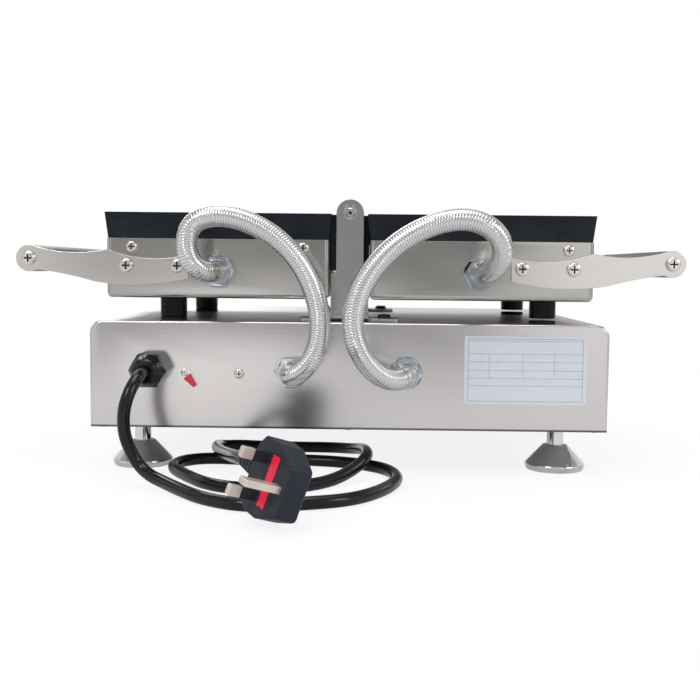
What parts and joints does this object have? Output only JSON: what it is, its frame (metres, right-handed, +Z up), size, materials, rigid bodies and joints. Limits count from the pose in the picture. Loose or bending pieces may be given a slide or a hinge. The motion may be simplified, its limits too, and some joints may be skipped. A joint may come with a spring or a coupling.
{
  "type": "waffle maker",
  "caption": "Book-type Belgian waffle maker: cast waffle halves hinge open onto a stainless base box with levelling feet, ribbed metal hoses, curved handle arms and a mains lead.",
  "frame": {"origin": "on the floor, under the middle of the object's bounding box without hoses and lead; the feet stand at Z = 0", "axes": "+X towards the right half as the cook sees it, +Y towards the rear where the hoses and the lead leave, +Z up"},
  "size_m": [0.4614, 0.4956, 0.1916],
  "materials": {
    "stainless": "brushed",
    "chrome": "polished",
    "hose_steel": "bright",
    "screw_steel": "satin",
    "black_steel": "satin",
    "cast": "seasoned",
    "grip_plastic": "satin",
    "black_plastic": "satin",
    "pad_rubber": "matt",
    "lead_rubber": "satin",
    "plug_plastic": "satin",
    "plug_brass": "satin",
    "fuse_red": "satin",
    "rocker_plastic": "gloss",
    "lamp_plastic": "gloss",
    "plate_film": "satin",
    "thermostat_case": "matt",
    "terminal_plastic": "matt",
    "wire_cover": "satin",
    "element_steel": "oxidised",
    "bulb_copper": "satin",
    "mineral_wool": "matt"
  },
  "bodies": {
    "base": {"base_shell": "stainless", "bottom_plate": "stainless", "bottom_screws": "screw_steel", "inner_nuts": "screw_steel", "rest_pads": "pad_rubber", "hinge_post_rear": "stainless", "hinge_post_front": "stainless", "post_screws": "black_steel", "pivot_pin": "screw_steel", "pivot_clips": "screw_steel", "power_switch": "black_plastic", "thermostats": "thermostat_case", "pilot_lamps": "lamp_plastic", "terminal_block": "terminal_plastic", "wiring": "wire_cover", "cable_gland": "black_plastic", "gland_nut": "black_plastic", "earth_screw": "screw_steel", "panel_screw": "screw_steel", "rating_plate": "plate_film", "base_fittings": "chrome", "hose_right": "hose_steel", "hose_left": "hose_steel", "power_cord": "lead_rubber", "plug_body": "plug_plastic", "plug_pins": "plug_brass", "fuse_carrier": "fuse_red"},
    "half_right": {"mould_plate_right": "cast", "heater_right": "element_steel", "heater_clamp_right": "element_steel", "insulation_right": "mineral_wool", "housing_right": "stainless", "legs_right": "grip_plastic", "arm_rear_right": "stainless", "arm_front_right": "stainless", "grip_right": "grip_plastic", "half_screws_right": "screw_steel", "hinge_lugs_right": "cast", "hose_fitting_right": "chrome", "thermostat_bulb_right": "bulb_copper"},
    "half_left": {"mould_plate_left": "cast", "heater_left": "element_steel", "heater_clamp_left": "element_steel", "insulation_left": "mineral_wool", "housing_left": "stainless", "legs_left": "grip_plastic", "arm_rear_left": "stainless", "arm_front_left": "stainless", "grip_left": "grip_plastic", "half_screws_left": "screw_steel", "hinge_lugs_left": "cast", "hose_fitting_left": "chrome", "thermostat_bulb_left": "bulb_copper"},
    "knob_right": {"knob_right": "black_plastic"},
    "knob_left": {"knob_left": "black_plastic"},
    "rocker": {"switch_rocker": "rocker_plastic"},
    "foot_rear_right": {"foot_rear_right": "chrome"},
    "foot_rear_left": {"foot_rear_left": "chrome"},
    "foot_front_right": {"foot_front_right": "chrome"},
    "foot_front_left": {"foot_front_left": "chrome"}
  },
  "joints": [
    {"name": "right_half_hinge", "type": "hinge", "parent": "base", "child": "half_right", "pos_m": [0, 0.045, 0.182], "axis": [0, -1, 0], "range_deg": [0, 180], "deforming": ["hose_right"]},
    {"name": "left_half_hinge", "type": "hinge", "parent": "base", "child": "half_left", "pos_m": [0, 0.045, 0.182], "axis": [0, 1, 0], "range_deg": [0, 180], "deforming": ["hose_left"]},
    {"name": "right_knob_turn", "type": "hinge", "parent": "base", "child": "knob_right", "pos_m": [0.096, -0.145, 0.0688], "axis": [0, 1, 0], "range_deg": [0, 270]},
    {"name": "left_knob_turn", "type": "hinge", "parent": "base", "child": "knob_left", "pos_m": [-0.096, -0.145, 0.0688], "axis": [0, 1, 0], "range_deg": [0, 270]},
    {"name": "rocker_tilt", "type": "hinge", "parent": "base", "child": "rocker", "pos_m": [0, -0.145, 0.0688], "axis": [1, 0, 0], "range_deg": [0, 16]},
    {"name": "rear_right_foot_turn", "type": "hinge", "parent": "base", "child": "foot_rear_right", "pos_m": [0.15, 0.112, 0.0318], "axis": [0, 0, 1], "continuous": true},
    {"name": "rear_left_foot_turn", "type": "hinge", "parent": "base", "child": "foot_rear_left", "pos_m": [-0.15, 0.112, 0.0318], "axis": [0, 0, 1], "continuous": true},
    {"name": "front_right_foot_turn", "type": "hinge", "parent": "base", "child": "foot_front_right", "pos_m": [0.15, -0.112, 0.0318], "axis": [0, 0, 1], "continuous": true},
    {"name": "front_left_foot_turn", "type": "hinge", "parent": "base", "child": "foot_front_left", "pos_m": [-0.15, -0.112, 0.0318], "axis": [0, 0, 1], "continuous": true}
  ]
}
